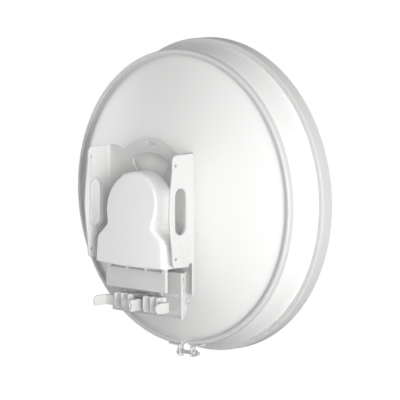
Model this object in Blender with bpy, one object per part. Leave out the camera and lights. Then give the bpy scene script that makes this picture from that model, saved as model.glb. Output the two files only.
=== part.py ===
"""A shielded parabolic dish antenna with its radio housing, carrying plate and tilting pole bracket.

The dish looks along +Y, its back is towards -Y and +Z is up.  The origin is the middle of the
round pad that rests on the pole.  Shapes are drawn in the dish's own frame, whose zero is on the
dish axis in the plane of the clamp band, and each piece is then placed from there.
"""

import math

import bmesh
import bpy
from mathutils import Matrix, Vector

# Everything is in metres.

# Place of the dish frame's zero, seen from the pole pad.
BAND_Y = 0.165
AXIS_Z = 0.208

GAP = 0.0003  # left between two pieces that touch

# Dish
FRONT_RADIUS = 0.325
RING_STEPS = 72
REFLECTOR_EDGE = 0.2935
REFLECTOR_DEPTH = 0.085
REFLECTOR_SKIN = 0.0025
REFLECTOR_HOLE = 0.030
FLANGE_RADIUS = 0.3032
FLANGE_BACK = 0.0025
SHROUD_SKIN = 0.003
SHROUD_FRONT_RADIUS = 0.3125
CAP_BACK = 0.0736
CAP_FRONT = 0.1033
CAP_SKIN = 0.003
RADOME_RISE = 0.012
BAND_RADIUS = 0.306
BAND_BACK = -0.006
BAND_FRONT = 0.008
BAND_LIP = 0.2975
BAND_SHEET = 0.0025
BAND_ROUND = 0.003
BAND_CHAMFER = 0.001
BAND_SPLIT = 0.020

# Screw that pulls the band tight, at the bottom of the dish
LUG_MIDDLE = 0.0125
LUG_SPACE = 0.031
LUG_DEPTH = 0.0135
LUG_DROP = 0.025
LUG_FOOT = 0.032
LUG_SHEET = 0.003
BAND_BOLT_DROP = 0.015
BAND_BOLT_RADIUS = 0.004
BAND_BOLT_TAIL = 0.015
BAND_HEX = 0.013
BAND_HEAD = 0.0055
BAND_NUT = 0.0067

# Carrying plate behind the reflector
PLATE_BACK = -0.091
SHEET = 0.003
PLATE_HALF = 0.125
PLATE_TOP = 0.109
PLATE_BOTTOM = -0.1815
LOBE_RADIUS = 0.128
WINDOW_INNER = 0.052
WINDOW_OUTER = 0.100
WINDOW_HALF_ANGLE = math.radians(34)
WINDOW_CORNER = 0.006
HUB_RADIUS = 0.046
OVAL_HOLE_Z = 0.120
OVAL_HOLE_HALF = 0.0135
OVAL_HOLE_RISE = 0.0045
SHOULDER = ((0.099, 0.1065), (0.088, 0.1035))  # where the straight top runs into the round lobe
SHOULDER_END = 0.100

# Side flanges, which are the carrying handles
FLANGE_TOP = 0.107
FLANGE_END = -0.122
FLANGE_REAR = -0.153
FLANGE_BULGE = -0.162
FLANGE_LEAN = math.radians(2)
FLANGE_CORNER = 0.012
NOTCH_RADIUS = 0.005
NOTCH_LIFT = 0.002
STRIP_REAR = -0.098
SLOT_FRONT = -0.1158
SLOT_REAR = -0.1458
SLOT_TOP = 0.039
SLOT_BOTTOM = -0.056
SCREW_HOLE = 0.003
SCREW_HOLE_Y = -0.144
SCREW_HOLE_TOP = 0.0855
SCREW_HOLE_BOTTOM = -0.104

# Radio housing
COVER_FRONT = -0.100
COVER_REAR = -0.162
COVER_LEAN = 0.024
COVER_ARCH = 2.3
COVER_CROWN = 0.75
COVER_DOME = 0.0715
COVER_DOME_Z = -0.0075
COVER_WAIST_Z = -0.034  # where the dome ends
COVER_SIDE = (  # the right side from the foot over the shoulder to the neck
    (0.1009, -0.095), (0.0985, -0.077), (0.0925, -0.068), (0.0685, -0.050), (0.0645, -0.044),
)
COVER_HALF = 0.1025
COVER_BOTTOM = -0.126
COVER_SAG = 0.002
COVER_EDGE = 0.007
COVER_EDGE_STEP = 0.3
BASE_INSET = 0.005
PANEL_HALF = 0.086
PANEL_BACK = -0.136
PANEL_DEPTH = 0.007
PANEL_TOP = COVER_BOTTOM - COVER_SAG - GAP
PANEL_BOTTOM = -0.178

# Pole bracket: a shallow channel that the antenna tilts on
TILT_Y = -0.0985
TILT_Z = -0.195
BRACKET_BACK = -0.1135
BRACKET_HALF = 0.110
BRACKET_TOP = -0.1365
BRACKET_NOTCH = ((-0.110, -0.1895), (-0.104, -0.1905), (-0.096, -0.1935), (-0.0925, -0.199))
BRACKET_BEND = -0.2175
BRACKET_BOTTOM = -0.231
LIP_FORWARD = 0.005
LIP_RELIEF = 0.002
LIP_ROOT = 0.002
CHEEK_BEVEL = 0.005
CHEEK_TOP = -0.174
CHEEK_FRONT = -0.098
CHEEK_FRONT_TOP = -0.1005
CHEEK_LEFT = -0.092
CHEEK_LEFT_TOP = -0.186
LUG_LOW = -0.147
LUG_FRONT = -0.1065
LUG_ROUND = 0.0042
BRACKET_HOLE_X = 0.1035
BRACKET_HOLE_Z = -0.1835

# Ears of the antenna, inside the channel's cheeks
EAR_RIGHT = 0.100
EAR_LEFT = -0.082
EAR_TOP = -0.136
EAR_HEEL = PLATE_BOTTOM + 0.002
EAR_ROUND = 0.0065
PIVOT_RADIUS = 0.003
PIVOT_HOLE = 0.0033
PIVOT_HEX = 0.010
PIVOT_HEAD = 0.0045
PIVOT_NUT = 0.005
THREAD_END = 0.003
WASHER_RADIUS = 0.007

# Clamp that sits on the pole
JAW_INNER = 0.018
JAW_OUTER = 0.066
JAW_BODY = -0.127
JAW_RIB_REAR = -0.137
JAW_RIBS = (0.022, 0.042, 0.061)
JAW_RIB = 0.004
JAW_TOP = -0.190
JAW_BOTTOM = -0.2235
ARM_OUTER = 0.091
ARM_SHEET = 0.0035
ARM_EAR_FRONT = -0.129
ARM_EAR_BACK = -0.135
ARM_REAR = -0.168
ARM_TOP = -0.1965
ARM_BOTTOM = -0.2175
ARM_ROUND = 0.009
BLOCK_HALF = 0.008
BLOCK_REAR = -0.157
BLOCK_TOP = -0.1975
BLOCK_BOTTOM = -0.2215
PAD_RADIUS = 0.012
BAR_HALF = 0.017
BAR_REAR = -0.125
BAR_TOP = -0.187
BAR_BOTTOM = -0.196
BAR_TEETH = 6
TOOTH_DEPTH = 0.0025
TOOTH = ((0, 1), (0.25, 0), (0.65, 0), (0.9, 1))  # how far along a pitch, and down the tooth
JAW_BOLT_X = 0.053
JAW_BOLT_Z = -0.184
JAW_BOLT_RADIUS = 0.0045
JAW_BOLT_HEAD = 0.005


# Scene and materials

def clear_scene():
    for item in list(bpy.data.objects):
        bpy.data.objects.remove(item, do_unlink=True)


def material(name, colour, roughness, metallic):
    made = bpy.data.materials.new(name)
    made.use_nodes = True
    shader = made.node_tree.nodes["Principled BSDF"]
    shader.inputs["Base Color"].default_value = (*colour, 1)
    shader.inputs["Roughness"].default_value = roughness
    shader.inputs["Metallic"].default_value = metallic
    return made


def empty(name, place):
    point = bpy.data.objects.new(name, None)
    point.location = place
    bpy.context.collection.objects.link(point)
    return point


def add(name, mesh_builder, look, carrier):
    """Turns a bmesh drawn in the dish's frame into a placed object."""
    bmesh.ops.recalc_face_normals(mesh_builder, faces=mesh_builder.faces)
    if mesh_builder.calc_volume(signed=True) < 0:
        bmesh.ops.reverse_faces(mesh_builder, faces=mesh_builder.faces)
    mesh = bpy.data.meshes.new(name)
    mesh_builder.to_mesh(mesh)
    mesh_builder.free()
    mesh.materials.append(look)
    mesh.shade_smooth()
    mesh.set_sharp_from_angle(angle=math.radians(30))
    piece = bpy.data.objects.new(name, mesh)
    piece.parent = carrier
    piece.location = Vector((0, BAND_Y, AXIS_Z)) - carrier.location
    bpy.context.collection.objects.link(piece)
    return piece


# Shapes

def arc(centre, radius, start, end, steps):
    """Points of an arc, angles in degrees."""
    turns = [math.radians(start + (end - start) * i / steps) for i in range(steps + 1)]
    return [(centre[0] + radius * math.cos(t), centre[1] + radius * math.sin(t)) for t in turns]


def turned(outline):
    """A closed outline of (radius, y) points turned about the dish axis."""
    bm = bmesh.new()
    rings = []
    for step in range(RING_STEPS):
        turn = 2 * math.pi * step / RING_STEPS
        rings.append([bm.verts.new((r * math.sin(turn), y, r * math.cos(turn))) for r, y in outline])
    for step in range(RING_STEPS):
        here, there = rings[step], rings[(step + 1) % RING_STEPS]
        for i in range(len(outline)):
            j = (i + 1) % len(outline)
            bm.faces.new((here[i], here[j], there[j], there[i]))
    bmesh.ops.remove_doubles(bm, verts=bm.verts, dist=1e-7)
    bmesh.ops.delete(bm, geom=[edge for edge in bm.edges if not edge.link_faces], context="EDGES")
    return bm


def flat(outline, holes, low, high, place):
    """A flat shape with holes, raised from low to high; place turns (u, v, w) into (x, y, z)."""
    bm = bmesh.new()
    edges = []
    for loop in (outline, *holes):
        corners = [bm.verts.new((u, v, low)) for u, v in loop]
        edges += [bm.edges.new((corners[i - 1], corners[i])) for i in range(len(corners))]
    bmesh.ops.triangle_fill(bm, edges=edges, use_beauty=True, use_dissolve=False)
    raised = bmesh.ops.extrude_face_region(bm, geom=bm.faces[:])["geom"]
    lifted = [item for item in raised if isinstance(item, bmesh.types.BMVert)]
    bmesh.ops.translate(bm, vec=(0, 0, high - low), verts=lifted)
    for corner in bm.verts:
        corner.co = place(*corner.co)
    return bm


def across(u, v, w):
    """For plates that face along Y: the drawing is (x, z)."""
    return (u, w, v)


def sideways(u, v, w):
    """For plates that face along X: the drawing is (y, z)."""
    return (w, u, v)


def upright(u, v, w):
    """For shapes raised along Z: the drawing is (x, y)."""
    return (u, v, w)


def box(low, high):
    bm = bmesh.new()
    middle = [(a + b) / 2 for a, b in zip(low, high)]
    size = [b - a for a, b in zip(low, high)]
    bmesh.ops.create_cube(bm, size=1, matrix=Matrix.Translation(middle) @ Matrix.Diagonal((*size, 1)))
    return bm


def hexagon(width, centre, turn=0):
    return arc(centre, width / math.sqrt(3), turn, turn + 300, 5)


def circle(centre, radius, steps=24):
    return arc(centre, radius, 0, 360 - 360 / steps, steps - 1)


def joined(piece, *others):
    """Fuses other pieces into the first with Boolean unions and drops them."""
    for other in others:
        cut = piece.modifiers.new(other.name, "BOOLEAN")
        cut.operation = "UNION"
        cut.object = other
        other.hide_render = True
        other.display_type = "WIRE"
    return piece


def mirrored(points):
    """Adds the left half to a right half drawn from the bottom up, both on the middle line."""
    return points + [(-x, z) for x, z in reversed(points) if x > 1e-6]


# Dish

def reflector_y(radius):
    """Back surface of the reflector."""
    return -REFLECTOR_DEPTH + (REFLECTOR_DEPTH + FLANGE_BACK) * (radius / REFLECTOR_EDGE) ** 2


def build_reflector(look, carrier):
    steps = 7
    radii = [REFLECTOR_HOLE + (REFLECTOR_EDGE - REFLECTOR_HOLE) * i / steps for i in range(steps + 1)]
    back = [(r, reflector_y(r)) for r in radii]
    front = [(r, reflector_y(r) + REFLECTOR_SKIN) for r in reversed(radii)]
    rim = [(FLANGE_RADIUS, FLANGE_BACK), (FLANGE_RADIUS, FLANGE_BACK + REFLECTOR_SKIN)]
    add("reflector", turned(back + rim + front), look, carrier)


def shroud_radius(y):
    """Outer radius of the shroud's slightly conical wall."""
    start = FLANGE_BACK + REFLECTOR_SKIN + GAP
    return FLANGE_RADIUS + (SHROUD_FRONT_RADIUS - FLANGE_RADIUS) * (y - start) / (CAP_BACK - start)


def build_shroud(look, carrier):
    back = FLANGE_BACK + REFLECTOR_SKIN + GAP
    front = CAP_FRONT - CAP_SKIN - GAP
    outline = [
        (shroud_radius(back), back),
        (shroud_radius(front), front),
        (shroud_radius(front) - SHROUD_SKIN, front),
        (shroud_radius(back) - SHROUD_SKIN, back),
    ]
    add("shroud", turned(outline), look, carrier)


def build_radome(look, carrier):
    """The front cover: a slightly domed face, a rim over the shroud's end and the rim's inward lip."""
    wall = FRONT_RADIUS - CAP_SKIN
    lip = shroud_radius(CAP_BACK + CAP_SKIN) + GAP
    steps = 4
    dome = [(wall * i / steps, CAP_FRONT + RADOME_RISE * (1 - (i / steps) ** 2)) for i in range(steps)]
    edge = [
        (wall, CAP_FRONT),
        (FRONT_RADIUS, CAP_FRONT - CAP_SKIN),
        (FRONT_RADIUS, CAP_BACK),
        (lip, CAP_BACK),
        (lip, CAP_BACK + CAP_SKIN),
        (wall, CAP_BACK + CAP_SKIN),
        (wall, CAP_FRONT - CAP_SKIN),
    ]
    under = [(r, y - CAP_SKIN) for r, y in reversed(dome)]
    add("radome", turned(dome + edge + under), look, carrier)


def build_band(look, carrier):
    """A ring of hook section that holds the reflector's flange to the shroud, split at the lugs."""
    hook = FLANGE_BACK - GAP
    outline = [
        (BAND_LIP, BAND_BACK + BAND_CHAMFER),
        (BAND_LIP + BAND_CHAMFER, BAND_BACK),
        (BAND_RADIUS - BAND_ROUND, BAND_BACK),
        (BAND_RADIUS, BAND_BACK + BAND_ROUND),
        (BAND_RADIUS, BAND_FRONT - BAND_CHAMFER),
        (BAND_RADIUS - BAND_CHAMFER, BAND_FRONT),
        (shroud_radius(BAND_FRONT) + GAP, BAND_FRONT),
        (BAND_RADIUS - BAND_SHEET, hook),
        (BAND_LIP, hook),
    ]
    band = add("clamp_band", turned(outline), look, carrier)
    gap = box(
        (LUG_MIDDLE - BAND_SPLIT / 2, BAND_BACK - 0.01, -BAND_RADIUS - 0.01),
        (LUG_MIDDLE + BAND_SPLIT / 2, BAND_FRONT + 0.01, -BAND_LIP + 0.02),
    )
    cutter = add("band_gap", gap, look, carrier)
    cutter.hide_render = True
    cutter.display_type = "WIRE"
    cut = band.modifiers.new("split", "BOOLEAN")
    cut.operation = "DIFFERENCE"
    cut.object = cutter


def build_band_screw(steel, look, carrier):
    """Two lugs under the band with the screw that pulls them together."""
    middle_y = (BAND_BACK + BAND_FRONT) / 2
    low_y, high_y = middle_y - LUG_DEPTH / 2, middle_y + LUG_DEPTH / 2
    bolt_z = -BAND_RADIUS - BAND_BOLT_DROP
    for side, name in ((-1, "left"), (1, "right")):
        inner = LUG_MIDDLE + side * LUG_SPACE / 2
        outer = inner + side * LUG_SHEET
        seat = BAND_RADIUS + GAP
        steps = [side * LUG_FOOT * i / 4 for i in range(5)]
        foot = [(inner + x, -math.sqrt(seat ** 2 - (inner + x) ** 2)) for x in steps]
        under = [(x, z - LUG_SHEET) for x, z in reversed(foot[1:])]
        end = foot[0][1] - LUG_DROP
        outline = foot + under + [(outer, foot[0][1] - LUG_SHEET), (outer, end), (inner, end)]
        lug = add(f"band_lug_{name}", flat(outline, [], low_y, high_y, across), look, carrier)
        hole = flat(circle((middle_y, bolt_z), BAND_BOLT_RADIUS + GAP), [], -0.05, 0.05, sideways)
        cutter = add(f"band_lug_hole_{name}", hole, look, carrier)
        cutter.hide_render = True
        cutter.display_type = "WIRE"
        cut = lug.modifiers.new("bolt hole", "BOOLEAN")
        cut.operation = "DIFFERENCE"
        cut.object = cutter
    left = LUG_MIDDLE - LUG_SPACE / 2 - LUG_SHEET
    right = LUG_MIDDLE + LUG_SPACE / 2 + LUG_SHEET
    centre = (middle_y, bolt_z)
    head = flat(hexagon(BAND_HEX, centre), [], left - GAP - BAND_HEAD, left - GAP, sideways)
    shank_ends = left - BAND_HEAD / 2, right + BAND_BOLT_TAIL
    shank = flat(circle(centre, BAND_BOLT_RADIUS), [], *shank_ends, sideways)
    bolt = add("band_bolt", head, steel, carrier)
    joined(bolt, add("band_bolt_shank", shank, steel, carrier))
    hole = circle(centre, BAND_BOLT_RADIUS + GAP)
    nut = flat(hexagon(BAND_HEX, centre), [hole], right + GAP, right + GAP + BAND_NUT, sideways)
    add("band_nut", nut, steel, carrier)


# Carrying plate

def window(middle_angle):
    """A ring-sector window with rounded corners, its angle measured from +X."""
    inner_corner = WINDOW_CORNER / (WINDOW_INNER + WINDOW_CORNER)
    outer_corner = WINDOW_CORNER / (WINDOW_OUTER - WINDOW_CORNER)
    points = []
    for radius, shrink, turns in (
        (WINDOW_OUTER, outer_corner, range(-4, 5)),
        (WINDOW_INNER, inner_corner, range(3, -4, -1)),
    ):
        ends = turns[0], turns[-1]
        side = WINDOW_CORNER if radius == WINDOW_OUTER else -WINDOW_CORNER
        half = WINDOW_HALF_ANGLE - shrink
        edge = math.copysign(WINDOW_HALF_ANGLE, ends[0])
        points.append((radius - side, middle_angle + edge))
        for turn in turns:
            points.append((radius, middle_angle + half * turn / abs(ends[0])))
        points.append((radius - side, middle_angle - edge))
    return [(r * math.cos(t), r * math.sin(t)) for r, t in points]


def build_hub(look, carrier):
    front = PLATE_BACK + SHEET + GAP
    outline = [
        (REFLECTOR_HOLE, front),
        (HUB_RADIUS, front),
        (HUB_RADIUS, reflector_y(HUB_RADIUS) - GAP),
        (REFLECTOR_HOLE, reflector_y(REFLECTOR_HOLE) - GAP),
    ]
    add("hub_ring", turned(outline), look, carrier)


def build_plate(look, carrier):
    half = PLATE_HALF - SHEET - GAP
    shoulder = math.degrees(math.asin(SHOULDER_END / LOBE_RADIUS))
    right = [(half, PLATE_BOTTOM), (half, PLATE_TOP), *SHOULDER]
    lobe = arc((0, 0), LOBE_RADIUS, shoulder, 180 - shoulder, 14)
    left = [(-x, z) for x, z in reversed(right)]
    holes = [window(math.radians(turn)) for turn in (90, 0, 180, 270)]
    round_hole = circle((0, 0), 1, 16)
    holes.append([(OVAL_HOLE_HALF * x, OVAL_HOLE_Z + OVAL_HOLE_RISE * z) for x, z in round_hole])
    plate = flat(right + lobe + left, holes, PLATE_BACK, PLATE_BACK + SHEET, across)
    add("mount_plate", plate, look, carrier)


def flange_outline():
    """Outline of a side flange with its hand slot and two screw holes, drawn in (y, z)."""
    front = PLATE_BACK + SHEET
    corner_y = FLANGE_REAR + FLANGE_CORNER
    top_corner = arc((corner_y, FLANGE_TOP - FLANGE_CORNER), FLANGE_CORNER, 90, 180, 4)
    low_corner = arc((corner_y, FLANGE_END + FLANGE_CORNER), FLANGE_CORNER, 180, 270, 4)
    notch = arc((STRIP_REAR - NOTCH_RADIUS, FLANGE_END + NOTCH_LIFT), NOTCH_RADIUS, 180, 0, 6)
    bulge = []
    for i in range(1, 8):
        z = SCREW_HOLE_TOP + (SCREW_HOLE_BOTTOM - SCREW_HOLE_TOP) * i / 8
        bulge.append((FLANGE_REAR + (FLANGE_BULGE - FLANGE_REAR) * math.sin(math.pi * i / 8) ** 1.5, z))
    outline = [(front, PLATE_BOTTOM), (front, FLANGE_TOP)] + top_corner + bulge + low_corner
    outline += [(STRIP_REAR - 2 * NOTCH_RADIUS, FLANGE_END)] + notch + [(STRIP_REAR, PLATE_BOTTOM)]
    slot_radius = (SLOT_FRONT - SLOT_REAR) / 2
    slot_y = (SLOT_FRONT + SLOT_REAR) / 2
    slot = arc((slot_y, SLOT_TOP - slot_radius), slot_radius, 0, 180, 8)
    slot += arc((slot_y, SLOT_BOTTOM + slot_radius), slot_radius, 180, 360, 8)
    screws = [circle((SCREW_HOLE_Y, z), SCREW_HOLE, 12) for z in (SCREW_HOLE_TOP, SCREW_HOLE_BOTTOM)]
    return outline, [slot] + screws


def build_side_flanges(look, carrier):
    """The plate's bent-back sides, which lean in a little towards their rear edges."""
    outline, holes = flange_outline()
    for side, name in ((-1, "left"), (1, "right")):
        def lean(u, v, w, side=side):
            return (side * w + side * (u - PLATE_BACK) * math.tan(FLANGE_LEAN), u, v)
        bm = flat(outline, holes, PLATE_HALF - SHEET, PLATE_HALF, lean)
        add(f"side_flange_{name}", bm, look, carrier)


# Radio

def bell(inset):
    """Outline of the radio cover seen from behind, drawn in (x, z) and shrunk by inset."""
    half = COVER_HALF - inset
    bottom = COVER_BOTTOM + inset
    right = [(half * i / 4, bottom - COVER_SAG * (1 - (i / 4) ** 2)) for i in range(5)]
    right += [(x - inset, z) for x, z in COVER_SIDE]
    waist = math.degrees(math.asin((COVER_WAIST_Z - COVER_DOME_Z) / COVER_DOME))
    right += arc((0, COVER_DOME_Z), COVER_DOME - inset, waist, 90, 12)
    return mirrored(right)


def cover_back(x, z):
    """The cover's rear face: crowned from side to side and leaning back towards the bottom."""
    height = COVER_DOME_Z + COVER_DOME - COVER_BOTTOM
    rise = max(z - COVER_BOTTOM, 0) / height
    return COVER_REAR + COVER_LEAN * rise ** COVER_ARCH + COVER_CROWN * x ** 2


def build_radio(look, base_look, carrier):
    """The base plate and the bell-shaped cover."""
    base = flat(bell(BASE_INSET), [], PLATE_BACK - GAP, COVER_FRONT + GAP, across)
    add("radio_base", base, base_look, carrier)
    bm = bmesh.new()
    layers = [[bm.verts.new((x, COVER_FRONT, z)) for x, z in bell(0)]]
    bevel = COVER_EDGE * COVER_EDGE_STEP
    for inset, step in ((0, COVER_EDGE), (bevel, bevel), (COVER_EDGE, 0)):
        layers.append([bm.verts.new((x, cover_back(x, z) + step, z)) for x, z in bell(inset)])
    count = len(layers[0])
    for here, there in zip(layers, layers[1:]):
        for i in range(count):
            j = (i + 1) % count
            bm.faces.new((here[i], here[j], there[j], there[i]))
    bmesh.ops.triangulate(bm, faces=[bm.faces.new(layers[0])])
    rim = layers[-1]
    ridge = {}
    for corner in rim:
        place = (0, cover_back(0, corner.co.z), corner.co.z)
        near = [v for v in ridge.values() if abs(v.co.z - corner.co.z) < 1e-6]
        ridge[corner] = corner if abs(corner.co.x) < 1e-6 else near[0] if near else bm.verts.new(place)
    for i in range(count):
        here, there = rim[i], rim[(i + 1) % count]
        corners = [here, there, ridge[there], ridge[here]]
        shape = [v for k, v in enumerate(corners) if v not in corners[:k]]
        if len(shape) > 2:
            bm.faces.new(shape)
    add("radio_cover", bm, look, carrier)


def build_panel(look, carrier):
    panel = box((-PANEL_HALF, PANEL_BACK, PANEL_BOTTOM), (PANEL_HALF, PANEL_BACK + PANEL_DEPTH, PANEL_TOP))
    add("port_panel", panel, look, carrier)


# Tilt joint

def build_ears(look, carrier):
    """Two ears under the carrying plate; their backs lean away so that they clear the channel."""
    front = PLATE_BACK - GAP
    outline = [(front, EAR_TOP), (front - SHEET, EAR_TOP)]
    outline += arc((TILT_Y, TILT_Z), EAR_ROUND, 170, 360, 10)
    outline += [(front, EAR_HEEL)]
    hole = circle((TILT_Y, TILT_Z), PIVOT_HOLE)
    for outer, name in ((EAR_LEFT, "left"), (EAR_RIGHT, "right")):
        inner = outer - math.copysign(SHEET, outer)
        add(f"tilt_ear_{name}", flat(outline, [hole], inner, outer, sideways), look, carrier)


def build_pivots(steel, carrier):
    """Bolt, spacer and nut on each side; the ear turns on the bolt between spacer and nut."""
    centre = (TILT_Y, TILT_Z)
    ring = circle(centre, PIVOT_HOLE)
    outline = hexagon(PIVOT_HEX, centre, 30)
    sides = (("left", -1, -CHEEK_LEFT, -EAR_LEFT), ("right", 1, BRACKET_HALF, EAR_RIGHT))
    for name, side, cheek, ear in sides:
        seat = cheek + GAP
        nut_outer = ear - SHEET - GAP
        nut_inner = nut_outer - PIVOT_NUT
        head = flat(outline, [], side * seat, side * (seat + PIVOT_HEAD), sideways)
        low, high = nut_inner - THREAD_END, seat + PIVOT_HEAD / 2
        shank = flat(circle(centre, PIVOT_RADIUS), [], side * low, side * high, sideways)
        bolt = add(f"pivot_bolt_{name}", head, steel, carrier)
        joined(bolt, add(f"pivot_shank_{name}", shank, steel, carrier))
        low, high = ear + GAP, cheek - SHEET - GAP
        spacer = flat(circle(centre, WASHER_RADIUS), [ring], side * low, side * high, sideways)
        add(f"pivot_spacer_{name}", spacer, steel, carrier)
        nut = flat(outline, [ring], side * nut_inner, side * nut_outer, sideways)
        add(f"pivot_nut_{name}", nut, steel, carrier)


# Pole bracket and clamp

def build_bracket(look, carrier):
    """A back sheet notched at its lower left, a bent lip under it and a cheek folded on each side."""
    back = BRACKET_BACK
    front = back + SHEET
    left_edge = CHEEK_LEFT + GAP
    outline = [(BRACKET_HALF, BRACKET_BEND), (BRACKET_HALF, BRACKET_TOP), (-BRACKET_HALF, BRACKET_TOP)]
    outline += [*BRACKET_NOTCH, (left_edge, BRACKET_BEND)]
    spare_hole = circle((BRACKET_HOLE_X, BRACKET_HOLE_Z), SCREW_HOLE, 12)
    sheet = add("pole_bracket", flat(outline, [spare_hole], back, front, across), look, carrier)
    lip_outline = [
        (back, BRACKET_BEND + LIP_ROOT), (front, BRACKET_BEND + LIP_ROOT),
        (front + LIP_FORWARD, BRACKET_BOTTOM), (back + LIP_FORWARD, BRACKET_BOTTOM),
    ]
    low, high = left_edge + LIP_RELIEF, BRACKET_HALF - LIP_RELIEF
    lip = add("lip", flat(lip_outline, [], low, high, sideways), look, carrier)
    root = back + SHEET / 3
    tip = back + SHEET
    taper = [(root, BRACKET_BOTTOM), (tip, BRACKET_BOTTOM), (CHEEK_FRONT, BRACKET_BEND + CHEEK_BEVEL)]
    right = [(root, CHEEK_TOP), *taper, (CHEEK_FRONT, TILT_Z + WASHER_RADIUS)]
    right += [(CHEEK_FRONT_TOP, CHEEK_TOP - SHEET), (CHEEK_FRONT_TOP - SHEET, CHEEK_TOP)]
    left = [(root, CHEEK_LEFT_TOP), *taper, (CHEEK_FRONT, TILT_Z + WASHER_RADIUS / 2)]
    left += [(CHEEK_FRONT - SHEET, CHEEK_LEFT_TOP)]
    lug = [(root, BRACKET_TOP), (root, LUG_LOW)]
    lug += arc((LUG_FRONT - LUG_ROUND, LUG_LOW + LUG_ROUND), LUG_ROUND, 270, 360, 4)
    lug += [(LUG_FRONT, BRACKET_TOP)]
    hole = circle((TILT_Y, TILT_Z), PIVOT_HOLE)
    folded = []
    for name, shape, holes, outer in (
        ("cheek_right", right, [hole], BRACKET_HALF),
        ("cheek_left", left, [hole], CHEEK_LEFT),
        ("lug_right", lug, [], BRACKET_HALF),
        ("lug_left", lug, [], -BRACKET_HALF),
    ):
        inner = outer - math.copysign(SHEET, outer)
        folded.append(add(name, flat(shape, holes, inner, outer, sideways), look, carrier))
    joined(sheet, lip, *folded)


def build_jaws(look, carrier):
    """A ribbed jaw on each side of the middle."""
    front = BRACKET_BACK - GAP
    for side, name in ((-1, "left"), (1, "right")):
        outline = [(JAW_INNER, front), (JAW_INNER, JAW_BODY)]
        for middle in JAW_RIBS:
            low, high = middle - JAW_RIB / 2, middle + JAW_RIB / 2
            outline += [(low, JAW_BODY), (low, JAW_RIB_REAR), (high, JAW_RIB_REAR), (high, JAW_BODY)]
        outline += [(JAW_OUTER, JAW_BODY), (JAW_OUTER, front)]
        outline = [(side * x, y) for x, y in outline]
        add(f"jaw_{name}", flat(outline, [], JAW_BOTTOM, JAW_TOP, upright), look, carrier)


def build_arms(look, carrier):
    """The outer ears beside the jaws, each with an arm that reaches back beside the pole."""
    ear_inner = JAW_RIBS[-1] + JAW_RIB / 2 + GAP
    for side, name in ((-1, "left"), (1, "right")):
        outline = [
            (ear_inner, ARM_EAR_FRONT), (ARM_OUTER, ARM_EAR_FRONT), (ARM_OUTER, ARM_REAR),
            (ARM_OUTER - ARM_SHEET, ARM_REAR), (ARM_OUTER - ARM_SHEET, ARM_EAR_BACK),
            (ear_inner, ARM_EAR_BACK),
        ]
        outline = [(side * x, y) for x, y in outline]
        bm = flat(outline, [], ARM_BOTTOM, ARM_TOP, upright)
        bmesh.ops.dissolve_limit(bm, angle_limit=0.01, verts=bm.verts, edges=bm.edges)
        ends = [e for e in bm.edges if all(abs(v.co.y - ARM_REAR) < 1e-5 for v in e.verts)
                and abs(e.verts[0].co.x - e.verts[1].co.x) > 1e-5]
        bmesh.ops.bevel(bm, geom=ends, offset=ARM_ROUND, segments=4, profile=0.5, affect="EDGES")
        add(f"clamp_arm_{name}", bm, look, carrier)


def build_pad(look, steel, carrier):
    """The middle block with the round pad that rests on the pole."""
    block = box((-BLOCK_HALF, BLOCK_REAR, BLOCK_BOTTOM), (BLOCK_HALF, BRACKET_BACK - GAP, BLOCK_TOP))
    add("centre_block", block, look, carrier)
    pad = flat(circle((0, -AXIS_Z), PAD_RADIUS, 32), [], -BAND_Y, BLOCK_REAR - GAP, across)
    add("pole_pad", pad, steel, carrier)


def build_toothed_bar(look, carrier):
    """A short rack between the jaws, its teeth along the rear edge."""
    front = BRACKET_BACK - GAP
    outline = [(-BAR_HALF, front)]
    pitch = 2 * BAR_HALF / BAR_TEETH
    for tooth in range(BAR_TEETH):
        start = -BAR_HALF + pitch * tooth
        outline += [(start + pitch * along, BAR_REAR + TOOTH_DEPTH * down) for along, down in TOOTH]
    outline += [(BAR_HALF, BAR_REAR + TOOTH_DEPTH), (BAR_HALF, front)]
    add("toothed_bar", flat(outline, [], BAR_BOTTOM, BAR_TOP, upright), look, carrier)


def build_jaw_bolts(steel, carrier):
    rear = BRACKET_BACK - GAP
    for side, name in ((-1, "left"), (1, "right")):
        outline = circle((side * JAW_BOLT_X, JAW_BOLT_Z), JAW_BOLT_RADIUS, 20)
        add(f"jaw_bolt_{name}", flat(outline, [], rear - JAW_BOLT_HEAD, rear, across), steel, carrier)


def build():
    clear_scene()
    white = material("white_paint", (0.86, 0.86, 0.86), 0.4, 0)
    skin = material("white_radome", (0.88, 0.88, 0.88), 0.5, 0)
    shell = material("white_plastic", (0.84, 0.84, 0.84), 0.45, 0)
    grey = material("grey_casting", (0.62, 0.62, 0.62), 0.5, 0.2)
    steel = material("steel", (0.6, 0.6, 0.6), 0.3, 1)
    pole_mount = empty("pole_mount_frame", (0, 0, 0))
    tilt_axis = empty("tilt_axis", (0, BAND_Y + TILT_Y, AXIS_Z + TILT_Z))

    build_reflector(white, tilt_axis)
    build_shroud(skin, tilt_axis)
    build_radome(skin, tilt_axis)
    build_band(white, tilt_axis)
    build_band_screw(steel, white, tilt_axis)
    build_hub(grey, tilt_axis)
    build_plate(white, tilt_axis)
    build_side_flanges(white, tilt_axis)
    build_radio(shell, grey, tilt_axis)
    build_panel(grey, tilt_axis)
    build_ears(white, tilt_axis)
    build_bracket(white, pole_mount)
    build_pivots(steel, pole_mount)
    build_jaws(grey, pole_mount)
    build_arms(white, pole_mount)
    build_pad(white, steel, pole_mount)
    build_toothed_bar(grey, pole_mount)
    build_jaw_bolts(steel, pole_mount)


build()
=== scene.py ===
"""Looks of a shielded dish antenna with its radio, carrying frame and tilting pole bracket."""

import math

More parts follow.
